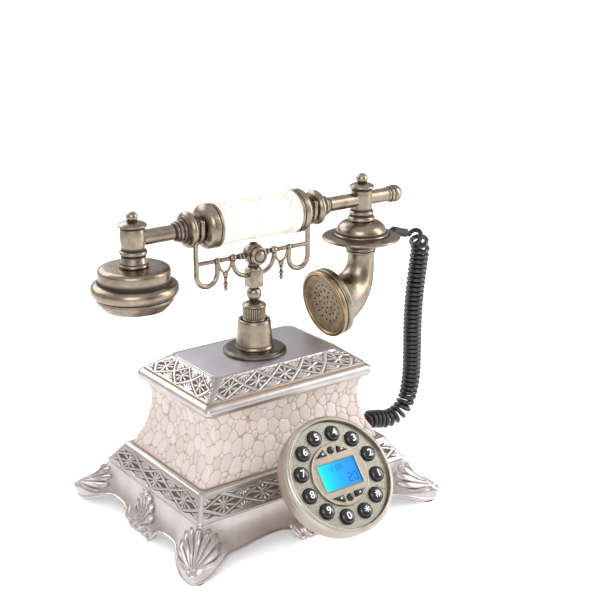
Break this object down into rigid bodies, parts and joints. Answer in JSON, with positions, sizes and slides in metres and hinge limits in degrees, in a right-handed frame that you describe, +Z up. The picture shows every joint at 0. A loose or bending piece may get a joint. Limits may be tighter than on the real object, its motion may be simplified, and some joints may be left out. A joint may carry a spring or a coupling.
{
  "type": "desk telephone",
  "caption": "Antique-style desk telephone: ornate footed base, push-button dial with display, sprung cradle, bar handset with horn mouthpiece and curly cord.",
  "frame": {"origin": "bottom centre of the whole telephone without its cord, on the surface that it stands on", "axes": "+X along the handset towards the mouthpiece, +Y to the back, +Z up"},
  "size_m": [0.2672, 0.1992, 0.2158],
  "materials": {
    "pewter_casting": "antique pewter paint, rubbed highlights",
    "pebble_panel": "pearl cream paint over a moulded pebble relief",
    "drum_paint": "satin pewter paint",
    "champagne_rim": "satin champagne plating",
    "key_plate_paint": "fine hammered champagne paint",
    "antique_bronze": "antique bronze plating, brushed and lacquered",
    "dark_bronze": "darkened bronze plating",
    "cream_resin": "pearl cream cast resin",
    "key_plastic": "gloss black with white printed digits",
    "display": "backlit liquid-crystal display",
    "moulded_black": "spark-eroded black plastic",
    "cord_vinyl": "black vinyl",
    "pad_rubber": "matte",
    "circuit_board": "green solder mask",
    "zinc_steel": "zinc plated",
    "cell_sleeve": "printed sleeve, plain"
  },
  "bodies": {
    "base": {"plinth": "pewter_casting", "waist": "pebble_panel", "lid": "pewter_casting", "bottom_cover": "moulded_black", "foot_pads": "pad_rubber", "fasteners": "zinc_steel", "post_flange": "dark_bronze", "post_socket": "antique_bronze", "dial_housing": "drum_paint", "dial_rim": "champagne_rim", "key_plate": "key_plate_paint", "display_bezel": "champagne_rim", "display_panel": "display", "keypad_board": "circuit_board", "main_board": "circuit_board", "ringer": "zinc_steel", "modular_jacks": "moulded_black", "hook_switch": "moulded_black", "battery_pack": "cell_sleeve", "plunger_spring": "zinc_steel", "base_plug": "cord_vinyl", "handset_cord": "cord_vinyl"},
    "cradle": {"cradle_stem": "antique_bronze", "cradle_bar": "antique_bronze", "left_hook": "antique_bronze", "right_hook": "antique_bronze"},
    "handset": {"grip": "cream_resin", "left_arm": "antique_bronze", "right_arm": "antique_bronze", "left_post": "antique_bronze", "right_post": "antique_bronze", "earpiece_shell": "antique_bronze", "earpiece_cap": "antique_bronze", "handset_capsules": "zinc_steel", "saucer": "antique_bronze", "mouth_horn": "antique_bronze", "mouth_cup": "antique_bronze", "mouth_grille": "antique_bronze", "handset_plug": "cord_vinyl"},
    "hook_lever": {"hook_lever": "moulded_black"},
    "battery_door": {"battery_door": "moulded_black"},
    "ringer_switch": {"ringer_switch": "moulded_black"},
    "key_4": {"key_4": "key_plastic"},
    "key_3": {"key_3": "key_plastic"},
    "key_2": {"key_2": "key_plastic"},
    "key_1": {"key_1": "key_plastic"},
    "key_hash": {"key_hash": "key_plastic"},
    "key_star": {"key_star": "key_plastic"},
    "key_0": {"key_0": "key_plastic"},
    "key_9": {"key_9": "key_plastic"},
    "key_8": {"key_8": "key_plastic"},
    "key_7": {"key_7": "key_plastic"},
    "key_6": {"key_6": "key_plastic"},
    "key_5": {"key_5": "key_plastic"},
    "key_redial": {"key_redial": "key_plastic"},
    "key_down": {"key_down": "key_plastic"},
    "key_delete": {"key_delete": "key_plastic"},
    "key_flash": {"key_flash": "key_plastic"},
    "key_up": {"key_up": "key_plastic"},
    "key_call": {"key_call": "key_plastic"}
  },
  "joints": [
    {"name": "handset_lift", "type": "slide", "parent": "base", "child": "handset", "axis": [0, 0, 1], "range_m": [0, 0.06], "deforming": ["handset_cord"]},
    {"name": "cradle_travel", "type": "slide", "parent": "base", "child": "cradle", "axis": [0, 0, 1], "range_m": [0, 0.004], "deforming": ["plunger_spring"]},
    {"name": "lever_pivot", "type": "hinge", "parent": "base", "child": "hook_lever", "pos_m": [0.0181, 0.01912, 0.0822], "axis": [0, 1, 0], "range_deg": [0, 9.2]},
    {"name": "battery_door_slide", "type": "slide", "parent": "base", "child": "battery_door", "axis": [0, -1, 0], "range_m": [0, 0.02]},
    {"name": "ringer_switch_slide", "type": "slide", "parent": "base", "child": "ringer_switch", "axis": [1, 0, 0], "range_m": [-0.004, 0.004]},
    {"name": "key_4_press", "type": "slide", "parent": "base", "child": "key_4", "axis": [0, 0.7593, -0.6508], "range_m": [0, 0.001], "stiffness_N_per_m": 200, "springref_m": -0.001},
    {"name": "key_3_press", "type": "slide", "parent": "base", "child": "key_3", "axis": [0, 0.7593, -0.6508], "range_m": [0, 0.001], "stiffness_N_per_m": 200, "springref_m": -0.001},
    {"name": "key_2_press", "type": "slide", "parent": "base", "child": "key_2", "axis": [0, 0.7593, -0.6508], "range_m": [0, 0.001], "stiffness_N_per_m": 200, "springref_m": -0.001},
    {"name": "key_1_press", "type": "slide", "parent": "base", "child": "key_1", "axis": [0, 0.7593, -0.6508], "range_m": [0, 0.001], "stiffness_N_per_m": 200, "springref_m": -0.001},
    {"name": "key_hash_press", "type": "slide", "parent": "base", "child": "key_hash", "axis": [0, 0.7593, -0.6508], "range_m": [0, 0.001], "stiffness_N_per_m": 200, "springref_m": -0.001},
    {"name": "key_star_press", "type": "slide", "parent": "base", "child": "key_star", "axis": [0, 0.7593, -0.6508], "range_m": [0, 0.001], "stiffness_N_per_m": 200, "springref_m": -0.001},
    {"name": "key_0_press", "type": "slide", "parent": "base", "child": "key_0", "axis": [0, 0.7593, -0.6508], "range_m": [0, 0.001], "stiffness_N_per_m": 200, "springref_m": -0.001},
    {"name": "key_9_press", "type": "slide", "parent": "base", "child": "key_9", "axis": [0, 0.7593, -0.6508], "range_m": [0, 0.001], "stiffness_N_per_m": 200, "springref_m": -0.001},
    {"name": "key_8_press", "type": "slide", "parent": "base", "child": "key_8", "axis": [0, 0.7593, -0.6508], "range_m": [0, 0.001], "stiffness_N_per_m": 200, "springref_m": -0.001},
    {"name": "key_7_press", "type": "slide", "parent": "base", "child": "key_7", "axis": [0, 0.7593, -0.6508], "range_m": [0, 0.001], "stiffness_N_per_m": 200, "springref_m": -0.001},
    {"name": "key_6_press", "type": "slide", "parent": "base", "child": "key_6", "axis": [0, 0.7593, -0.6508], "range_m": [0, 0.001], "stiffness_N_per_m": 200, "springref_m": -0.001},
    {"name": "key_5_press", "type": "slide", "parent": "base", "child": "key_5", "axis": [0, 0.7593, -0.6508], "range_m": [0, 0.001], "stiffness_N_per_m": 200, "springref_m": -0.001},
    {"name": "key_redial_press", "type": "slide", "parent": "base", "child": "key_redial", "axis": [0, 0.7593, -0.6508], "range_m": [0, 0.001], "stiffness_N_per_m": 200, "springref_m": -0.001},
    {"name": "key_down_press", "type": "slide", "parent": "base", "child": "key_down", "axis": [0, 0.7593, -0.6508], "range_m": [0, 0.001], "stiffness_N_per_m": 200, "springref_m": -0.001},
    {"name": "key_delete_press", "type": "slide", "parent": "base", "child": "key_delete", "axis": [0, 0.7593, -0.6508], "range_m": [0, 0.001], "stiffness_N_per_m": 200, "springref_m": -0.001},
    {"name": "key_flash_press", "type": "slide", "parent": "base", "child": "key_flash", "axis": [0, 0.7593, -0.6508], "range_m": [0, 0.001], "stiffness_N_per_m": 200, "springref_m": -0.001},
    {"name": "key_up_press", "type": "slide", "parent": "base", "child": "key_up", "axis": [0, 0.7593, -0.6508], "range_m": [0, 0.001], "stiffness_N_per_m": 200, "springref_m": -0.001},
    {"name": "key_call_press", "type": "slide", "parent": "base", "child": "key_call", "axis": [0, 0.7593, -0.6508], "range_m": [0, 0.001], "stiffness_N_per_m": 200, "springref_m": -0.001}
  ],
  "couplings": [
    {"joint": "cradle_travel", "follows": "handset_lift", "ratio": 0.066667},
    {"joint": "lever_pivot", "follows": "handset_lift", "rad_per_m": 2.6667}
  ]
}
